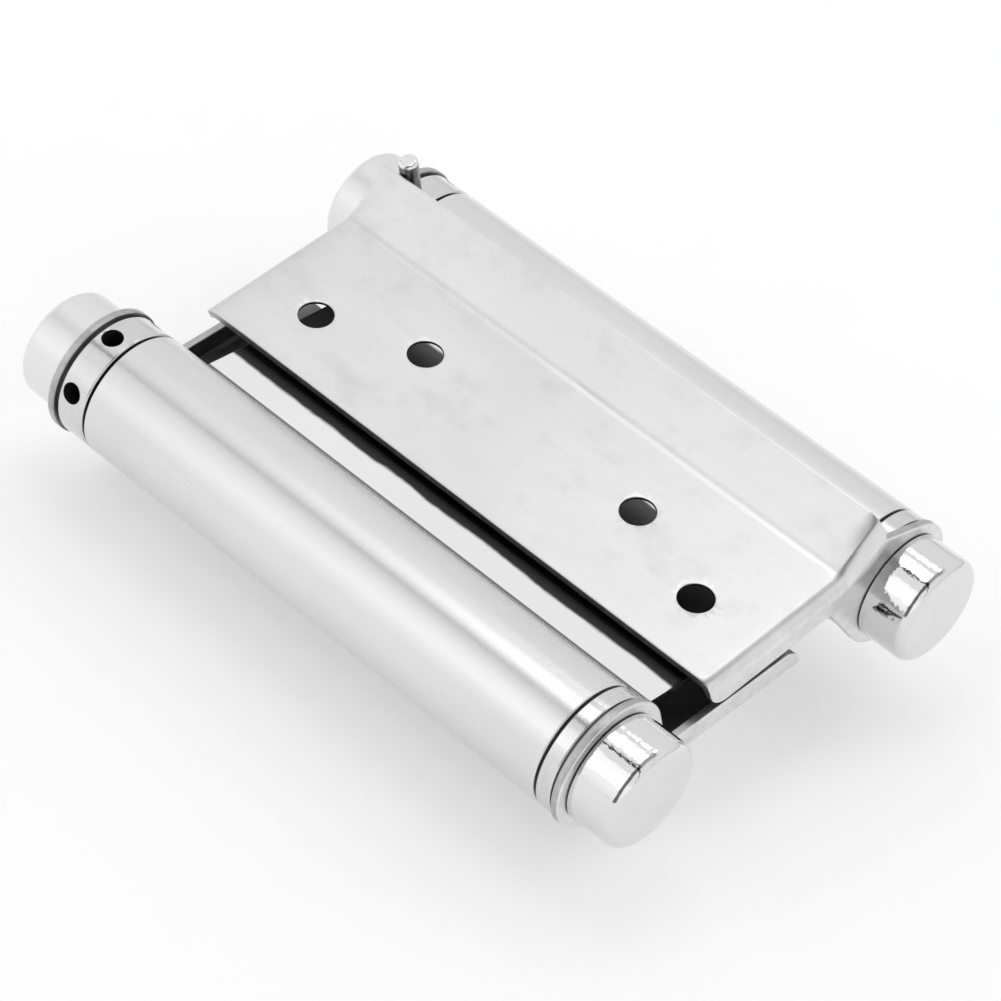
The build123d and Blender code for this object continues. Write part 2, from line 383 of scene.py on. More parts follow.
class Signal:
    """A shader socket that can be used in Python arithmetic."""

    def __init__(self, graph: "Nodes", socket: bpy.types.NodeSocket) -> None:
        """Wrap a socket of a graph."""
        self.graph = graph
        self.socket = socket

    def _math(self, kind: str, one: object, two: object) -> "Signal":
        """Add a Math node for two values or sockets."""
        return self.graph.add("ShaderNodeMath", {"operation": kind}, {0: one, 1: two})

    def __add__(self, other: object) -> "Signal":
        """Sum."""
        return self._math("ADD", self, other)

    def __sub__(self, other: object) -> "Signal":
        """Difference."""
        return self._math("SUBTRACT", self, other)

    def __rsub__(self, other: object) -> "Signal":
        """Difference with a number first."""
        return self._math("SUBTRACT", other, self)

    def __mul__(self, other: object) -> "Signal":
        """Product."""
        return self._math("MULTIPLY", self, other)

    __radd__ = __add__
    __rmul__ = __mul__

    def __abs__(self) -> "Signal":
        """Size without sign."""
        return self.graph.add("ShaderNodeMath", {"operation": "ABSOLUTE"}, {0: self})

    def clamp(self) -> "Signal":
        """Keep the value between 0 and 1."""
        found = self._math("ADD", self, 0.0)
        found.socket.node.use_clamp = True
        return found

    def rise(self, start: object, slope: float) -> "Signal":
        """0 on one side of a start, then up to 1 at a slope; a negative slope turns it round."""
        return ((self - start) * slope).clamp()


class Nodes:
    """Empty node tree that is filled through signals."""

    def __init__(self, tree: bpy.types.NodeTree) -> None:
        """Take over a tree and empty it."""
        self.tree = tree
        self.tree.nodes.clear()

    def add(
        self, kind: str, settings: dict[str, object], inputs: dict[object, object],
        output: object = 0,
    ) -> Signal:
        """Add any node and return one of its outputs.

        The settings are attributes of the node, set before the values or signals of its
        inputs, which go by name or index.
        """
        node = self.tree.nodes.new(kind)
        for key, value in settings.items():
            if key == "stops":
                self._set_stops(node, value)
            else:
                setattr(node, key, value)
        for key, value in inputs.items():
            if isinstance(value, Signal):
                self.tree.links.new(value.socket, node.inputs[key])
            else:
                node.inputs[key].default_value = value
        return Signal(self, None if output is None else node.outputs[output])

    @staticmethod
    def _set_stops(node: bpy.types.Node, stops: Sequence[tuple[float, float]]) -> None:
        """Give a colour ramp its grey stops."""
        ramp = node.color_ramp
        while len(ramp.elements) > 1:
            ramp.elements.remove(ramp.elements[-1])
        for i, (position, grey) in enumerate(stops):
            element = ramp.elements[0] if i == 0 else ramp.elements.new(position)
            element.position = position
            element.color = (grey, grey, grey, 1.0)

    def ramp(self, signal: Signal, stops: Sequence[tuple[float, float]]) -> Signal:
        """Pass a signal through grey stops."""
        return self.add("ShaderNodeValToRGB", {"stops": stops}, {"Fac": signal}, "Color")


class Graph(Nodes):
    """Node graph of one material with a Principled shader."""

    def __init__(self, name: str) -> None:
        """Make a material with its shader."""
        self.material = bpy.data.materials.new(name)
        self.material.use_nodes = True
        super().__init__(self.material.node_tree)
        output = self.tree.nodes.new("ShaderNodeOutputMaterial")
        self.shader = self.tree.nodes.new("ShaderNodeBsdfPrincipled")
        self.tree.links.new(self.shader.outputs[0], output.inputs[0])

    def fixed(self, **values: object) -> None:
        """Set plain numbers on the shader's own sockets, with _ for a space."""
        for key, value in values.items():
            self.shader.inputs[key.replace("_", " ")].default_value = value

    def feed(self, socket: str, signal: Signal) -> None:
        """Link a signal to a socket of the shader."""
        self.tree.links.new(signal.socket, self.shader.inputs[socket])

    def coords(self) -> Signal:
        """Object coordinates, which follow the body that a piece rides."""
        return self.add("ShaderNodeTexCoord", {}, {}, "Object")

    def place(self, axis: str) -> Signal:
        """One of the object coordinates, in metres."""
        return self.add("ShaderNodeSeparateXYZ", {}, {"Vector": self.coords()}, axis)

    def noise(self, scale: float | Triple, detail: float = 3.0, rough: float = 0.5) -> Signal:
        """Noise between 0 and 1, with one scale or one along each axis."""
        scales = scale if isinstance(scale, tuple) else (scale, scale, scale)
        way = self.add("ShaderNodeMapping", {}, {"Vector": self.coords(), "Scale": scales})
        settings = {"Vector": way, "Scale": 1.0, "Detail": detail, "Roughness": rough}
        return self.add("ShaderNodeTexNoise", {}, settings, "Fac")

    def colour(self, factor: Signal, low: Triple, high: Triple) -> None:
        """Give the shader a base colour between two colours."""
        inputs = {"Factor": factor, 6: (*low, 1.0), 7: (*high, 1.0)}
        self.feed("Base Color", self.add("ShaderNodeMix", {"data_type": "RGBA"}, inputs, 2))

    def greys(self, factor: Signal, low: float, high: float) -> None:
        """Give the shader a base colour between two greys."""
        self.colour(factor, (low, low, low), (high, high, high))

    def roughen(self, level: Signal) -> None:
        """Give the shader a roughness, kept between 0 and 1."""
        self.feed("Roughness", level.clamp())

    def bump(self, height: Signal, strength: float, distance: float) -> None:
        """Let a height signal tilt the shader's normal."""
        inputs = {"Height": height, "Strength": strength, "Distance": distance}
        self.feed("Normal", self.add("ShaderNodeBump", {}, inputs, "Normal"))


@dataclass(frozen=True)
class Finish:
    """One finish, metal unless it says otherwise, whose pattern a subclass paints.

    Greys are reflectances from 0 to 1. Numbers from 30 up are scales of noise patterns.
    """

    name: str

    def paint(self, graph: Graph) -> None:
        """Feed the shader of a graph."""
        raise NotImplementedError

    def build(self) -> bpy.types.Material:
        """Make the material."""
        graph = Graph(self.name)
        graph.fixed(Metallic=1.0)
        self.paint(graph)
        return graph.material


@dataclass(frozen=True)
class BrushedSteel(Finish):
    """Satin stainless sheet with fine lines, clouds, smudges and a few scratches.

    Attributes:
        darker_from: place along Y in metres where the far end turns darker, in smudgy patches.
        bent_from: distance from the middle in metres where the mottled flanges begin.
    """

    grey: float = 0.755
    contrast: float = 0.11
    roughness: float = 0.34
    lines: Triple = (4200.0, 90.0, 4200.0)
    clouds: Triple = (55.0, 38.0, 55.0)
    smudges: Triple = (150.0, 110.0, 150.0)
    scratches: Triple = (900.0, 700.0, 900.0)
    grain: float = 420.0
    dent: float = 0.025
    darker_from: float = 0.0445
    bent_from: float = 0.0482

    def paint(self, graph: Graph) -> None:
        """Feed the shader of a graph."""
        lines = graph.noise(self.lines, 4.0, 0.6)
        wide = graph.noise(tuple(v * 0.22 for v in self.lines), 2.0)
        clouds = graph.noise(self.clouds, 5.0, 0.6)
        smudges = graph.ramp(graph.noise(self.smudges, 6.0, 0.65), [(0.52, 0.0), (0.72, 1.0)])
        marks = graph.ramp(graph.noise(self.scratches, 6.0, 0.7), [(0.6, 0.0), (0.78, 1.0)])
        along = graph.place("Y")
        far_end = along.rise(self.darker_from, 220.0) * (smudges * 0.6 + 0.4)
        flange = abs(along).rise(self.bent_from, 600.0)
        bent = flange * (graph.noise(self.grain, 5.0, 0.65) - 0.5)
        tone = lines * 0.16 + wide * 0.14 + clouds * 0.8 - marks * 0.3 + bent * 1.5
        tone = (tone - smudges * 0.35 - far_end * 0.6).clamp()
        low, high = self.grey - self.contrast, self.grey + self.contrast
        graph.colour(tone, (low, low, low * 1.005), (high, high, high))
        graph.roughen(lines * 0.06 + clouds * 0.24 + (self.roughness - 0.15))
        graph.bump(lines * 0.7 + marks * 0.3, self.dent, 0.00004)
        graph.fixed(Anisotropic=0.35)


@dataclass(frozen=True)
class BodySteel(Finish):
    """Centre sheet: satin on the rolled barrels and mirror bright on the web.

    Attributes, in metres from the middle of the web:
        barrel_from: where the web turns into a barrel.
        crease_shade_from: where a dark strip of painted shade begins, along the bend into the
            barrel.
        leaf_shade_from: inside this the web takes painted shade, with a painted dark reflection of
            the leaf's underside by its free edge.
        deep_shade_from: where that painted shade turns paler, deep under the leaf.
    """

    grey: float = 0.74
    web_grey: float = 0.91
    barrel_from: float = 0.0205
    # Painted shade: a dark strip on the web along each bend into a barrel.
    crease_shade_from: float = 0.01775
    crease_shade_grey: float = 0.2
    # Painted shade on the web under each leaf, darkest by the leaf's free edge as a painted dark
    # reflection.
    leaf_shade_from: float = 0.0119
    leaf_shade_grey: float = 0.05
    deep_shade_from: float = 0.0088
    deep_shade_lift: float = 0.13
    lines: Triple = (5200.0, 60.0, 5200.0)
    clouds: Triple = (60.0, 30.0, 60.0)
    waves: Triple = (260.0, 90.0, 260.0)
    ragged: Triple = (210.0, 120.0, 210.0)

    def web(self, graph: Graph, across: Signal, unshaded: Signal) -> Signal:
        """Reflectance across the web: polished where the leaf leaves it open, with painted shade
        under the leaf and along the bends into the barrels.
        """
        face = LAYOUT.sheet / 2 * MM
        inwards = graph.place("X") * graph.place("Z") * (1 / face)
        # Painted shade under the leaf: dark by the free edge, paler deeper in.
        painted_shade = inwards.rise(-self.deep_shade_from, 900.0) * self.deep_shade_lift
        painted_shade = painted_shade + self.leaf_shade_grey
        # Painted shade along the bend into each barrel.
        clear_of_crease = across.rise(self.crease_shade_from, -5000.0)
        crease_shaded = (self.web_grey - self.crease_shade_grey) * clear_of_crease + self.crease_shade_grey
        return (crease_shaded - painted_shade) * unshaded + painted_shade

    def paint(self, graph: Graph) -> None:
        """Feed the shader of a graph."""
        across = abs(graph.place("X"))
        barrel = across.rise(self.barrel_from, 900.0)
        lines = graph.noise(self.lines, 4.0, 0.6)
        clouds = graph.noise(self.clouds, 5.0, 0.6)
        waves = graph.noise(self.waves, 2.0, 0.5)
        # Ragged edge of the painted shade under the leaf.
        shade_edge = graph.noise(self.ragged, 3.0, 0.55) * 0.0016 + self.leaf_shade_from
        unshaded = across.rise(shade_edge, 1600.0)
        tone = (lines * 0.3 * barrel + clouds * 0.7).clamp()
        grey = self.web(graph, across, unshaded) * (1 - barrel) + self.grey * barrel
        graph.greys((grey + (tone * 0.17 - 0.085) * unshaded).clamp(), 0.0, 1.0)
        satin = lines * 0.05 + clouds * 0.14 + 0.185
        mirror = clouds * 0.05 + 0.03 + (1 - unshaded) * 0.3
        graph.roughen(satin * barrel + mirror * (1 - barrel))
        graph.bump(lines * barrel * 0.25 + waves * 0.75, 0.1, 0.00006)
        graph.fixed(Anisotropic=0.2)


@dataclass(frozen=True)
class DullSteel(Finish):
    """Dull, dark and mottled steel for unpolished inner faces and sheared edges, and for painted
    shade in recesses.
    """

    grey: float = 0.26
    spread: float = 0.06
    roughness: float = 0.45
    grain: float = 420.0
    clouds: float = 90.0

    def paint(self, graph: Graph) -> None:
        """Feed the shader of a graph."""
        grain = graph.noise(self.grain, 5.0, 0.65)
        clouds = graph.noise(self.clouds, 3.0, 0.5)
        tone = (grain * 1.6 + clouds * 0.4 - 0.5).clamp()
        graph.greys(tone, self.grey - self.spread, self.grey + self.spread)
        graph.roughen(grain * 0.2 + (self.roughness - 0.1))
        graph.bump(grain, 0.25, 0.00006)


@dataclass(frozen=True)
class PolishedSteel(Finish):
    """Turned or ground steel with faint rings and small dents."""

    grey: float = 0.7
    roughness: float = 0.14
    dents: float = 0.25
    rings: Triple = (180.0, 3800.0, 180.0)
    grain: float = 700.0
    blots: float = 120.0

    def paint(self, graph: Graph) -> None:
        """Feed the shader of a graph."""
        rings = graph.noise(self.rings, 3.0, 0.5)
        grain = graph.noise(self.grain, 6.0, 0.65)
        blots = graph.noise(self.blots, 3.0, 0.5)
        tone = (rings * 0.4 + grain * 0.4 + blots * 0.3).clamp()
        graph.greys(tone, self.grey - 0.17, self.grey + 0.11)
        graph.roughen(blots * 0.12 + grain * 0.08 + (self.roughness - 0.08))
        graph.bump(rings * 0.3 + grain * 0.7, self.dents, 0.00008)


@dataclass(frozen=True)
class BrightPlate(Finish):
    """Mirror bright plating over a slightly uneven base, with rare pinholes."""

    grey: float = 0.75
    roughness: float = 0.03
    waves: float = 0.55
    swell: Triple = (210.0, 150.0, 210.0)
    peel: float = 1300.0
    pits: float = 2400.0

    def paint(self, graph: Graph) -> None:
        """Feed the shader of a graph."""
        swell = graph.noise(self.swell, 2.0, 0.4)
        peel = graph.noise(self.peel, 3.0, 0.5)
        pits = graph.ramp(graph.noise(self.pits, 2.0), [(0.74, 0.0), (0.8, 1.0)])
        tone = (swell * 0.6 + peel * 0.3 - pits * 0.4).clamp()
        low, high = self.grey - 0.04, self.grey + 0.04
        graph.colour(tone, (low, low, low), (high, high, high * 0.995))
        graph.roughen(peel * 0.03 + pits * 0.3 + self.roughness)
        graph.bump(swell * 0.5 + peel * 0.45 - pits * 0.05, self.waves, 0.00012)


@dataclass(frozen=True)
class OiledWire(Finish):
    """Dark spring wire with a thin film of oil."""

    film: float = 400.0
    draw: Triple = (3000.0, 300.0, 3000.0)

    def paint(self, graph: Graph) -> None:
        """Feed the shader of a graph."""
        film = graph.noise(self.film, 4.0, 0.6)
        draw = graph.noise(self.draw, 3.0, 0.5)
        graph.colour(film, (0.16, 0.15, 0.15), (0.34, 0.33, 0.33))
        graph.roughen(draw * 0.15 + film * 0.15 + 0.2)
        graph.bump(draw, 0.2, 0.00005)


@dataclass(frozen=True)
class PaleBoard(Finish):
    """Matt white studio floor."""

    fibre: float = 90.0

    def paint(self, graph: Graph) -> None:
        """Feed the shader of a graph."""
        fibre = graph.noise(self.fibre, 4.0, 0.5)
        graph.greys(fibre, 0.76, 0.78)
        graph.roughen(fibre * 0.1 + 0.75)
        graph.fixed(Metallic=0.0, Emission_Color=(1.0, 1.0, 1.0, 1.0), Emission_Strength=0.35)


class Finishes:
    """All the materials of the hinge, made once."""

    def __init__(self) -> None:
        """Build every finish."""
        self.leaf = BrushedSteel("leaf_steel").build()
        # Inner faces of the leaves: unpolished, and darker still as painted shade in the gaps
        # between leaves and web.
        self.inner = DullSteel("leaf_inner_shade").build()
        self.edge = DullSteel("leaf_edge", grey=0.46, spread=0.17, roughness=0.36).build()
        self.body = BodySteel("body_steel").build()
        self.turned = PolishedSteel("collar_steel", dents=0.35).build()
        # Near black painted shade in bores, grooves, tommy holes and down the screw holes.
        self.bore = DullSteel("recess_shade", grey=0.07, spread=0.03, roughness=0.6).build()
        self.plate = BrightPlate("cap_chrome").build()
        self.haze = BrightPlate("cap_hazed", grey=0.8, roughness=0.33, waves=0.1).build()
        self.pin = PolishedSteel("pin_steel", grey=0.82, roughness=0.12, dents=0.1).build()
        self.stem = DullSteel("pin_stem", grey=0.24, spread=0.12, roughness=0.3).build()
        self.rod = PolishedSteel("rod_steel", grey=0.6, roughness=0.25).build()
        self.wire = OiledWire("spring_steel").build()


def hang(piece: bpy.types.Object, body: str, slot: str, *nodes: str) -> None:
    """Give a piece its body and hide the CAD nodes that it stands for. The slot is not used."""
    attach(piece, body)
    if nodes:
        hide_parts(*nodes)
    LOG.info("%s rides %s", piece.name, body)


@dataclass
class CentreBody:
    """Sheet whose flat web is rolled into a barrel at both edges."""

    bend_radius: float = 1.6
    seam_angle: float = 5.0
    web_trim: float = 1.3
    edge: float = 0.22
    roll_steps: int = 150

    def half_line(self) -> list[tuple[Point2, Point2, float]]:
        """Middle of the sheet from the centre to the left seam: place, normal, far end."""
        wall = LAYOUT.barrel_radius - LAYOUT.sheet / 2
        axis_x = -LAYOUT.pitch / 2
        bend_x = axis_x + math.sqrt((wall + self.bend_radius) ** 2 - self.bend_radius ** 2)
        start = math.degrees(math.atan2(self.bend_radius, bend_x - axis_x))
        web_far = LAYOUT.barrel_far - self.web_trim
        line = [((bend_x * i / 5, 0.0), (0.0, 1.0), web_far) for i in range(6)]
        line.append(((bend_x, 0.0), (0.0, 1.0), LAYOUT.barrel_far))
        bend = arc_points((bend_x, self.bend_radius), self.bend_radius, 270, 180 + start, 12)
        for x, z in bend[1:]:
            normal = ((bend_x - x) / self.bend_radius, 1 - z / self.bend_radius)
            line.append(((x, z), normal, LAYOUT.barrel_far))
        end = 360 - self.seam_angle
        for x, z in arc_points((axis_x, 0.0), wall, start, end, self.roll_steps)[1:]:
            line.append(((x, z), ((x - axis_x) / wall, z / wall), LAYOUT.barrel_far))
        return line

    def build(self, finishes: Finishes) -> None:
        """Sweep a rounded strip section along the middle of the sheet."""
        half = LAYOUT.sheet / 2
        near, edge = LAYOUT.barrel_near, self.edge
        line = self.half_line()
        line = [((-x, -z), normal, far) for (x, z), normal, far in reversed(line[1:])] + line
        maker = MeshMaker()
        rows = []
        for (x, z), (nx, nz), far in line:
            section = rounded_polygon(
                [(-half, near, edge), (half, near, edge), (half, far, edge), (-half, far, edge)], 4
            )
            rows.append(maker.add_points(
                Vector((x + nx * offset, y, z + nz * offset)) for offset, y in section
            ))
        for one, two in zip(rows, rows[1:]):
            maker.bridge(one, two)
        maker.add_face(tuple(rows[0]))
        maker.add_face(tuple(reversed(rows[-1])))
        piece = maker.build("centre_sheet", Matrix.Scale(MM, 4), [finishes.body])
        hang(piece, "centre", "body_steel", "centre_body")


@dataclass
class Leaf:
    """Pressed leaf with end flanges, ramp, lip, ears and countersunk screw holes."""

    side: Side
    ear_root: float
    height: float = 10.1
    reach: float = 40.5
    ramp_start: float = 12.5
    lip_reach: float = 4.35
    lip_height: float = 15.7
    ramp_bend: float = 3.2
    flange_depth: float = 5.05
    flange_bend: float = 2.2
    lip_bend: float = 4.0
    widening_lead: float = 1.5
    tip_start: float = 9.5
    tip_bend: float = 0.7
    corner_top: float = 3.5
    corner_bottom: float = 7.5
    corner_keep: float = 0.65
    corner_gap: float = 0.05
    ear_radius: float = 10.09
    ear_top: float = 12.6
    screw_radius: float = 2.7
    screw_head: float = 3.5
    screw_rows: tuple[Point2, Point2] = ((30.1, 37.5), (24.1, 21.0))

    @property
    def slope(self) -> float:
        """Angle of the ramp in radians."""
        return math.atan2(self.lip_height - self.height, self.ramp_start - self.lip_reach)

    def profile(self, x: float) -> float:
        """Height of the front face at a place across the leaf."""
        reach = self.ramp_bend * math.tan(self.slope / 2)
        start, end = -self.ramp_start - reach, -self.ramp_start + reach * math.cos(self.slope)
        if x <= start:
            return self.height
        if x <= end:
            lift = self.ramp_bend ** 2 - (x - start) ** 2
            return self.height + self.ramp_bend - math.sqrt(lift)
        return min(self.height + (x + self.ramp_start) * math.tan(self.slope), self.lip_height)

    def flange_radius(self, x: float, way: float) -> float:
        """Bend radius of an end flange, which widens up the ramp.

        At the far end, where the way is 1, the corner at the lip stays sharp.
        """
        rise = (x + self.ramp_start + self.widening_lead) / (self.ramp_start - self.lip_reach)
        part = min(max(rise, 0.0), 1.0)
        eased = part * part * (3 - 2 * part)
        radius = self.flange_bend + (self.lip_bend - self.flange_bend) * eased
        if way < 0:
            return radius
        tip = min(max((x + self.tip_start) / (self.tip_start - self.lip_reach), 0.0), 1.0)
        return radius + (self.tip_bend - radius) * tip

    def fold(self, x: float, b: float) -> Point2:
        """Place along the leaf and drop under the profile for a flat pattern place."""
        way = math.copysign(1.0, b)
        radius = self.flange_radius(x, way)
        start = LAYOUT.half_length - radius
        past = abs(b) - start
        if past <= 0:
            return b, 0.0
        bend = radius * math.pi / 2
        if past < bend:
            angle = past / radius
            return way * (start + radius * math.sin(angle)), radius * (1 - math.cos(angle))
        return way * LAYOUT.half_length, radius + past - bend

    def surface(self, x: float, b: float) -> tuple[Vector, Vector]:
        """Point and normal of the front face for a flat pattern place."""
        def place(u: float, v: float) -> Vector:
            y, drop = self.fold(u, v)
            return Vector((u, y, self.profile(u) - drop))

        step = 0.02
        across = place(x + step, b) - place(x - step, b)
        along = place(x, b + step) - place(x, b - step)
        return place(x, b), across.cross(along).normalized()

    def unfold(self, x: float, z: float, way: float) -> float:
        """Flat pattern place along the leaf for a point on the outer face of a flange."""
        radius = self.flange_radius(x, way)
        start = LAYOUT.half_length - radius
        return start + radius * math.pi / 2 + self.profile(x) - z - radius

    def end_outline(self, relieved: bool) -> list[Point2]:
        """Edge of one flange and ear, from the lip round the ear to the free edge.

        A relieved flange is cut away at the free edge.
        """
        crown = (-self.lip_reach, self.ear_top)
        root = (-self.ear_root, self.height - self.flange_depth)
        high = self.tangent_angle(crown, -1)
        low = self.tangent_angle(root, 1)
        ear = arc_points((0, 0), self.ear_radius, high, low - 360, 96)
        bottom = root[1]
        if relieved:
            underside = self.height - self.corner_keep * LAYOUT.sheet
            shoulder_x = self.corner_top - self.reach
            heel = (self.corner_bottom - self.reach, bottom)
            slant = between(heel, (shoulder_x, underside), 6)
            free = slant + between((shoulder_x, underside), (-self.reach, underside), 4)[1:]
        else:
            corner = self.flange_depth - LAYOUT.sheet - self.corner_gap
            free = arc_points((corner - self.reach, bottom + corner), corner, 270, 180, 12)
        shoulder = between(crown, ear[0], 12)
        hip = between(ear[-1], root, 12)
        floor = between(root, free[0], 40)
        outline = shoulder[:-1] + ear + hip[1:-1] + floor[:-1] + free
        return [(x, self.unfold(x, z, 1.0 if relieved else -1.0)) for x, z in outline]

    def tangent_angle(self, point: Point2, side: int) -> float:
        """Angle in degrees where a line from a point touches the ear circle."""
        distance = math.hypot(*point)
        lean = side * math.acos(self.ear_radius / distance)
        return math.degrees(math.atan2(point[1], point[0]) + lean)

    def outline(self) -> list[Point2]:
        """Whole edge of the flat pattern."""
        end = self.end_outline(True)
        other = [(x, -b) for x, b in reversed(self.end_outline(False))]
        free = between(end[-1], other[0], 90)
        lip = between(other[-1], end[0], 90)
        return end + free[1:-1] + other + lip[1:-1]

    def carrying_points(self) -> list[Point2]:
        """Flat pattern points inside the leaf that carry its bends."""
        start = LAYOUT.half_length - self.flange_bend
        bend = self.flange_bend * math.pi / 2
        half_rows, bend_steps, flange_step, plate_step, ramp_step = 24, 10, 0.9, 1.5, 1.2
        rows = [start * k / half_rows for k in range(-half_rows, half_rows + 1)]
        for sign in (-1, 1):
            rows += [sign * (start + bend * k / bend_steps) for k in range(1, bend_steps + 1)]
            rows += [sign * (start + bend + flange_step * k) for k in range(1, 4)]
        ramp = self.ramp_bend * math.sin(self.slope)
        columns = [-self.reach + ramp_step + k * plate_step for k in range(18)]
        columns += [-self.ramp_start - ramp / 2 + ramp * k / bend_steps for k in range(-2, 13)]
        columns += [-8 * ramp_step + ramp_step * k for k in range(5)]
        points = [(x, b) for x in columns for b in rows]
        return [p for p in points if self.inside(p)]

    def inside(self, point: Point2) -> bool:
        """Whether a flat pattern point lies well inside the plate or a flange."""
        x, b = point
        margin, corner_width = 0.4, 4.5
        edge = self.unfold(x, self.height - self.flange_depth, math.copysign(1.0, b))
        across = margin - self.reach < x < -self.lip_reach - margin
        corner = x < corner_width - self.reach and abs(b) > LAYOUT.half_length
        return across and abs(b) < edge - margin and not corner

    def holes(self) -> list[Loop]:
        """Screw holes with their countersinks, and the spindle holes in the ears."""
        thickness = LAYOUT.sheet
        sink = self.screw_head - self.screw_radius
        rim = 0.12
        screw: list[Level] = [
            (-rim, 0.0), (-rim * 0.3, rim * 0.3), (0.0, rim),
            (0.0, thickness - sink - 0.05), (-0.04, thickness - sink),
            (-sink + 0.03, thickness - 0.04), (-sink - 0.05, thickness),
        ]
        worn_rows = 2
        loops = []
        for reach, offset in self.screw_rows:
            for sign in (-1, 1):
                ring = arc_points((-reach, sign * offset), self.screw_radius, 0, 360, 64)[:-1]
                # Rim rows below the worn ones take the painted shade of the bore finish.
                loops.append(Loop(ring, screw, worn_rows, 3, hole=True))
        for sign in (-1, 1):
            ring = arc_points((0, 0), LAYOUT.spindle_radius, 0, 360, 48)[:-1]
            flat = [(x, sign * self.unfold(x, z, sign)) for x, z in ring]
            loops.append(Loop(flat, sheared_rim(thickness, 0.1, 0.1), worn_rows, 1, hole=True))
        return loops

    def build(self, finishes: Finishes) -> None:
        """Form the sheet and hang it on its barrel."""
        rim = Loop(self.outline(), sheared_rim(LAYOUT.sheet, 0.22, 0.12), 3, 2)
        sheet = FormedSheet(
            self.surface, [rim, *self.holes()], self.carrying_points(), LAYOUT.sheet
        )
        maker = sheet.build()
        place = LAYOUT.placement(self.side, LAYOUT.tilt(self.side))
        name = self.side.leaf
        # Kinds: outer face, inner face with painted shade, sheared edge, painted shade down the
        # holes.
        materials = [finishes.leaf, finishes.inner, finishes.edge, finishes.bore]
        piece = maker.build(f"{name}_leaf_sheet", place, materials, 40.0)
        hang(piece, f"{name}_leaf", "leaf_steel", f"leaf_{name}")


@dataclass
class Cap:
    """Bright cap on a spindle end."""

    side: Side
    near: bool
    radius: float = 8.5
    length: float = 7.899
    edge: float = 1.5
    seam: float = 0.18
    floor: float = 2.0

    def build(self, finishes: Finishes) -> None:
        """Turn the cap and seat it on the ear."""
        sign = -1 if self.near else 1
        face = LAYOUT.half_length * sign
        end = face + self.length * sign
        bore = LAYOUT.spindle_radius
        floor = end - self.floor * sign
        seat = face + self.seam * sign
        neck = self.radius - self.seam
        outline = [
            (0.0, end, 0.0), (self.radius, end, self.edge), (self.radius, seat, 0.1),
            (neck, seat, 0.0), (neck, face, 0.0),
            (bore, face, 0.0), (bore, floor, 0.0), (0.0, floor, 0.0),
        ]
        # The seam groove by the ear takes the painted shade of the bore finish.
        maker = lathe(rounded_polygon(outline, 10), 192, (neck, neck))
        where = "near" if self.near else "far"
        name = f"cap_{where}_{self.side.value}"
        finish = finishes.plate if self.near else finishes.haze
        place = LAYOUT.placement(self.side)
        piece = maker.build(f"{name}_bright", place, [finish, finishes.bore], 60.0)
        hang(piece, f"{self.side.leaf}_leaf", "cap_chrome", name)


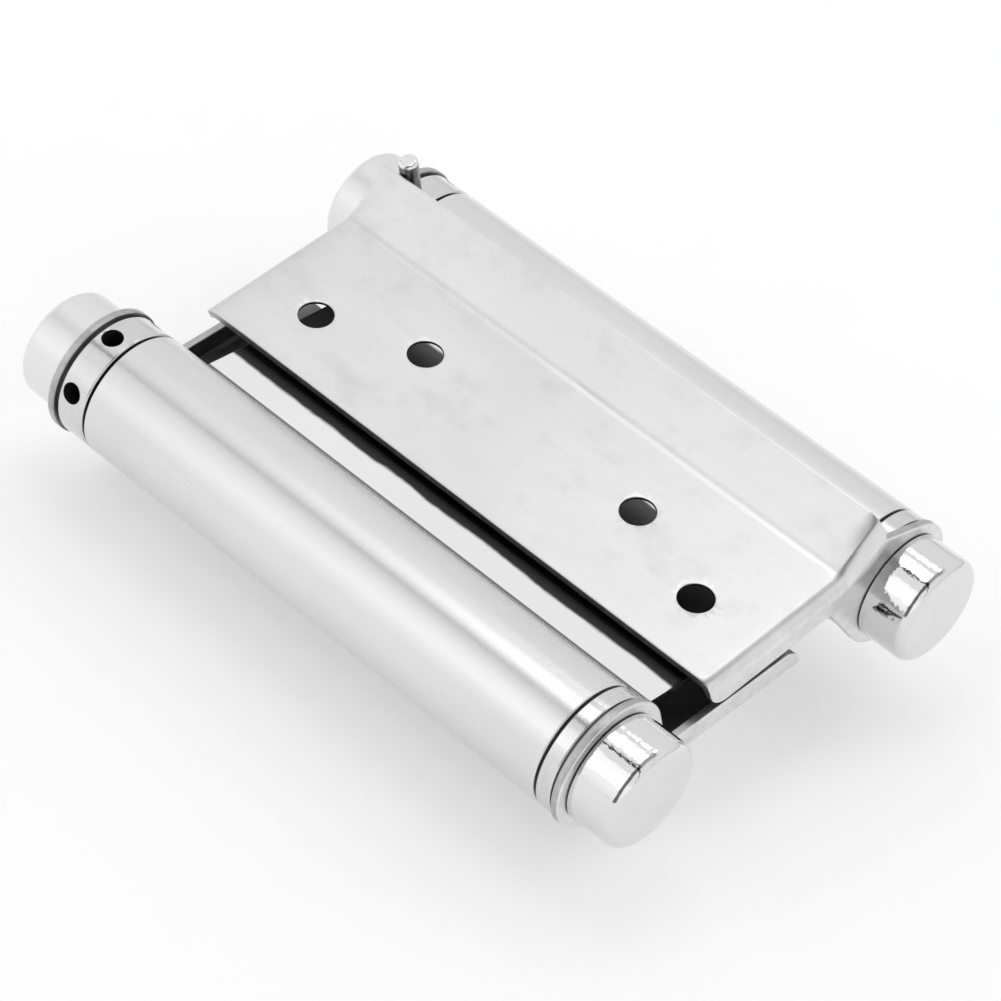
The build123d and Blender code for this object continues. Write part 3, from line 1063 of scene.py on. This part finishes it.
@dataclass
class BarrelEnds:
    """End plug, winding collar and tension pin of one barrel."""

    side: Side
    washer: float = 0.4
    play: float = 0.05
    spigot: float = 5.2
    bore: float = 3.05
    groove: float = 0.5
    neck: float = 9.2
    gap: float = 0.5
    chamfer: float = 0.3
    hole_radius: float = 1.6
    hole_mouth: float = 0.14
    drill_step: float = 0.1
    drill_excess: float = 2.0
    hole_floor: float = 5.2
    hole_y: float = 46.1
    hole_angle: float = 99.35
    hole_count: int = 6
    pin_radius: float = 1.52
    pin_top: float = 17.955
    pin_edge: float = 0.608

    def plug(self, finishes: Finishes) -> None:
        """Turn the plug that closes the near end of the barrel."""
        radius = LAYOUT.barrel_radius
        face = -(LAYOUT.half_length - LAYOUT.sheet - self.washer - self.play)
        shoulder = LAYOUT.barrel_near - self.groove
        inner = radius - LAYOUT.sheet
        end = LAYOUT.barrel_near + self.spigot
        outline = [
            (self.bore, face, 0.1), (radius, face, self.chamfer), (radius, shoulder, 0.12),
            (self.neck, shoulder, 0.0), (self.neck, LAYOUT.barrel_near, 0.0),
            (inner, LAYOUT.barrel_near, 0.0), (inner, end, 0.2), (self.bore, end, 0.1),
        ]
        name = f"end_plug_{self.side.value}"
        # The groove floor and the inner faces take the painted shade of the bore finish.
        maker = lathe(rounded_polygon(outline), dark=(0.0, self.neck))
        place = LAYOUT.placement(self.side)
        piece = maker.build(f"{name}_turned", place, [finishes.turned, finishes.bore])
        hang(piece, "centre", "collar_steel", name)

    def collar(self, finishes: Finishes) -> None:
        """Turn the winding collar and drill its tommy holes."""
        radius = LAYOUT.barrel_radius
        face = LAYOUT.half_length - LAYOUT.sheet - self.washer - self.play
        step = LAYOUT.barrel_far + self.gap
        inner = radius - LAYOUT.sheet - 0.08
        end = LAYOUT.barrel_far - self.spigot
        outline = [
            (self.bore, face, 0.1), (radius, face, self.chamfer), (radius, step, self.chamfer),
            (inner, step, 0.0), (inner, end, 0.2), (self.bore, end, 0.1),
        ]
        name = f"winding_collar_{self.side.value}"
        place = LAYOUT.placement(self.side)
        materials = [finishes.turned, finishes.bore]
        # The inner faces take the painted shade of the bore finish.
        maker = lathe(rounded_polygon(outline), 240, (0.0, self.neck))
        piece = maker.build(f"{name}_turned", place, materials)
        tilt = LAYOUT.tilt(self.side)
        for number in range(self.hole_count):
            angle = self.hole_angle + tilt + 360 * number / self.hole_count
            self.drill(piece, place, angle, materials)
        hang(piece, f"{self.side.value}_collar", "collar_steel", name)

    def outwards(self, angle: float) -> Matrix:
        """Matrix that stands a turned shape up in the tommy hole at an angle in degrees."""
        shift = Matrix.Translation((0, self.hole_y, 0))
        lean = Matrix.Rotation(math.radians(-angle), 4, "Y")
        return shift @ lean @ Matrix.Rotation(-math.pi / 2, 4, "Z")

    def drill(
        self, piece: bpy.types.Object, place: Matrix, angle: float,
        materials: Sequence[bpy.types.Material],
    ) -> None:
        """Cut a radial hole with a rounded mouth, at an angle in degrees from X to Z."""
        radius, mouth = LAYOUT.barrel_radius, self.hole_mouth
        wide = self.hole_radius + mouth
        lip = arc_points((wide, radius - mouth), mouth, 180, 90, 5)[:-1]
        outline = [(0.0, self.hole_floor), (self.hole_radius, self.hole_floor)] + lip
        clear = radius + self.drill_excess
        outline += [(wide, radius + self.drill_step), (wide, clear), (0.0, clear)]
        # The hole's wall and floor take the painted shade of the bore finish.
        maker = lathe(outline, 48, (0.0, self.hole_radius))
        cutter = maker.build("tommy_drill", place @ self.outwards(angle), materials)
        cutter.modifiers.clear()
        piece.modifiers.clear()
        cut = piece.modifiers.new("tommy hole", "BOOLEAN")
        cut.object = cutter
        cut.solver = "EXACT"
        cut.material_mode = "INDEX"
        bpy.context.view_layer.update()
        done = bpy.data.meshes.new_from_object(
            piece.evaluated_get(bpy.context.evaluated_depsgraph_get())
        )
        piece.modifiers.clear()
        piece.data = done
        bpy.data.objects.remove(cutter)
        done.shade_smooth()
        done.set_sharp_from_angle(angle=math.radians(40))
        shade_evenly(piece)

    def pin(self, finishes: Finishes) -> None:
        """Make the tension pin that stands in the hole beside the leaf lip."""
        outline = rounded_polygon([
            (0.0, self.hole_floor, 0.0), (self.pin_radius, self.hole_floor, 0.3),
            (self.pin_radius, self.pin_top, self.pin_edge), (0.0, self.pin_top, 0.0),
        ], 8)
        angle = self.hole_angle + LAYOUT.tilt(self.side)
        place = LAYOUT.placement(self.side) @ self.outwards(angle)
        name = f"tension_pin_{self.side.value}"
        stem = (self.pin_radius - MERGE_DISTANCE, self.pin_radius + MERGE_DISTANCE)
        maker = lathe(outline, 64, stem)
        piece = maker.build(f"{name}_ground", place, [finishes.pin, finishes.stem])
        hang(piece, f"{self.side.value}_pin", "pin_steel", name)

    def build(self, finishes: Finishes) -> None:
        """Make all three pieces."""
        self.plug(finishes)
        self.collar(finishes)
        self.pin(finishes)


@dataclass
class HiddenWorks:
    """Spindles, washers and springs, shown as their own solids with a finish."""

    def build(self, finishes: Finishes) -> None:
        """Give each inner node its material."""
        kinds = {"spindle": finishes.rod, "washer": finishes.rod, "torsion_spring": finishes.wire}
        for name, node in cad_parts.items():
            for kind, material in kinds.items():
                if name.startswith(kind):
                    node.data.materials.clear()
                    node.data.materials.append(material)
                    LOG.info("%s keeps its solid", name)


@dataclass(frozen=True)
class SoftBox:
    """Soft rectangular light that faces down, or leans by a tilt in degrees about Y.

    Its place and its size along X and Y are in metres, and a radiance of 1 shows as white.
    """

    name: str
    place: Triple
    size: tuple[float, float]
    radiance: float
    tilt: float = 0.0

    def hang(self) -> None:
        """Put the light in the scene."""
        data = bpy.data.lights.new(self.name, "AREA")
        data.shape = "RECTANGLE"
        data.size, data.size_y = self.size
        data.energy = self.radiance * math.pi * data.size * data.size_y
        lamp = new_object(self.name, data)
        lamp.location = self.place
        lamp.rotation_euler = (0.0, math.radians(self.tilt), 0.0)


@dataclass
class Studio:
    """Floor, camera, white tent and soft lights.

    The tent is brighter or darker by the angle about the Y axis, from the horizon on the
    right, over the top, to the horizon on the left, like strip lights along the barrels.
    """

    focal_px: float = 4100.8
    image_px: float = 1001.0
    eye: Triple = (-0.3727, -0.259631, 0.366941)
    right: Triple = (0.673822, -0.717035, 0.178395)
    up: Triple = (0.375158, 0.539999, 0.75343)
    back: Triple = (-0.636569, -0.440751, 0.632865)
    tent: tuple[tuple[float, float], ...] = (
        (0, 0.68), (8, 0.82), (20, 0.90), (50, 0.91), (62, 0.91), (80, 0.95), (103.2, 0.95),
        (104.7, 0.03), (107.5, 0.03), (109.0, 0.96), (122, 0.97), (133, 0.98), (147, 1.12),
        (161, 1.18), (180, 1.04),
    )
    opening: tuple[tuple[float, float], ...] = (
        (0, 1.0), (59, 1.0), (63, 0.45), (98, 0.45), (102, 0.16), (180, 0.16),
    )
    opening_span: tuple[float, float] = (-0.5, 0.12)
    opening_slope: float = 20.0
    floor_reach: float = 4.0
    floor_gap: float = 0.0003
    boxes: tuple[SoftBox, ...] = (
        SoftBox("top_box", (0.0025, 0.11, 0.5), (0.195, 0.18), 1.14),
        SoftBox("left_box", (-0.58, 0.13, 0.46), (0.42, 0.43), 0.31, -50.0),
        SoftBox("side_box", (0.24, 0.05, 0.5), (0.09, 0.26), 1.38),
    )

    def camera(self) -> None:
        """Place the camera at the photograph's viewing angle."""
        data = bpy.data.cameras.new("camera")
        data.sensor_fit = "HORIZONTAL"
        data.sensor_width = 36.0
        data.lens = self.focal_px / self.image_px * data.sensor_width
        data.clip_start = 0.01
        camera = new_object("camera", data)
        turn = Matrix((self.right, self.up, self.back)).transposed().to_4x4()
        camera.matrix_world = Matrix.Translation(self.eye) @ turn
        bpy.context.scene.camera = camera

    def floor(self) -> None:
        """Lay a pale floor under the lowest point of the hinge."""
        level = CAD_BOX[0][2] - self.floor_gap
        mesh = bpy.data.meshes.new("floor")
        reach = self.floor_reach
        corners = [(-reach, -reach), (reach, -reach), (reach, reach), (-reach, reach)]
        mesh.from_pydata([(x, y, level) for x, y in corners], [], [(0, 1, 2, 3)])
        mesh.materials.append(PaleBoard("pale_board").build())
        board = new_object("floor", mesh)

    def sky(self) -> None:
        """Surround the hinge with the tent, which is open towards the near end."""
        world = bpy.data.worlds.new("tent")
        bpy.context.scene.world = world
        world.use_nodes = True
        nodes = Nodes(world.node_tree)
        way = nodes.add("ShaderNodeTexCoord", {}, {}, "Generated")
        x, y, z = (
            nodes.add("ShaderNodeSeparateXYZ", {}, {"Vector": way}, axis) for axis in "XYZ"
        )
        angle = nodes.add("ShaderNodeMath", {"operation": "ARCTAN2"}, {0: z, 1: x}) * (1 / math.pi)
        brightest = max(value for _, value in self.tent)
        wall = nodes.ramp(angle, [(a / 180, value / brightest) for a, value in self.tent])
        gap = nodes.ramp(angle, [(a / 180, value) for a, value in self.opening])
        start, end = self.opening_span
        seen = y.rise(start, self.opening_slope) * y.rise(end, -self.opening_slope)
        glow = wall * (1 - seen + seen * gap)
        background = nodes.add(
            "ShaderNodeBackground", {}, {"Color": glow, "Strength": brightest}, "Background"
        )
        nodes.add("ShaderNodeOutputWorld", {}, {"Surface": background}, None)

    def build(self) -> None:
        """Set up the whole studio."""
        bpy.context.scene.view_settings.view_transform = "Standard"
        self.floor()
        self.sky()
        for box in self.boxes:
            box.hang()
        self.camera()


def main() -> None:
    """Build the hinge piece by piece and report each one."""
    logging.basicConfig(level=logging.INFO, format="%(name)s: %(message)s")
    finishes = Finishes()
    CentreBody().build(finishes)
    for side in Side:
        Leaf(side, ear_root=EAR_ROOTS[side]).build(finishes)
        BarrelEnds(side).build(finishes)
        for near in (True, False):
            Cap(side, near).build(finishes)
    HiddenWorks().build(finishes)
    Studio().build()


if __name__ == "__main__":
    main()
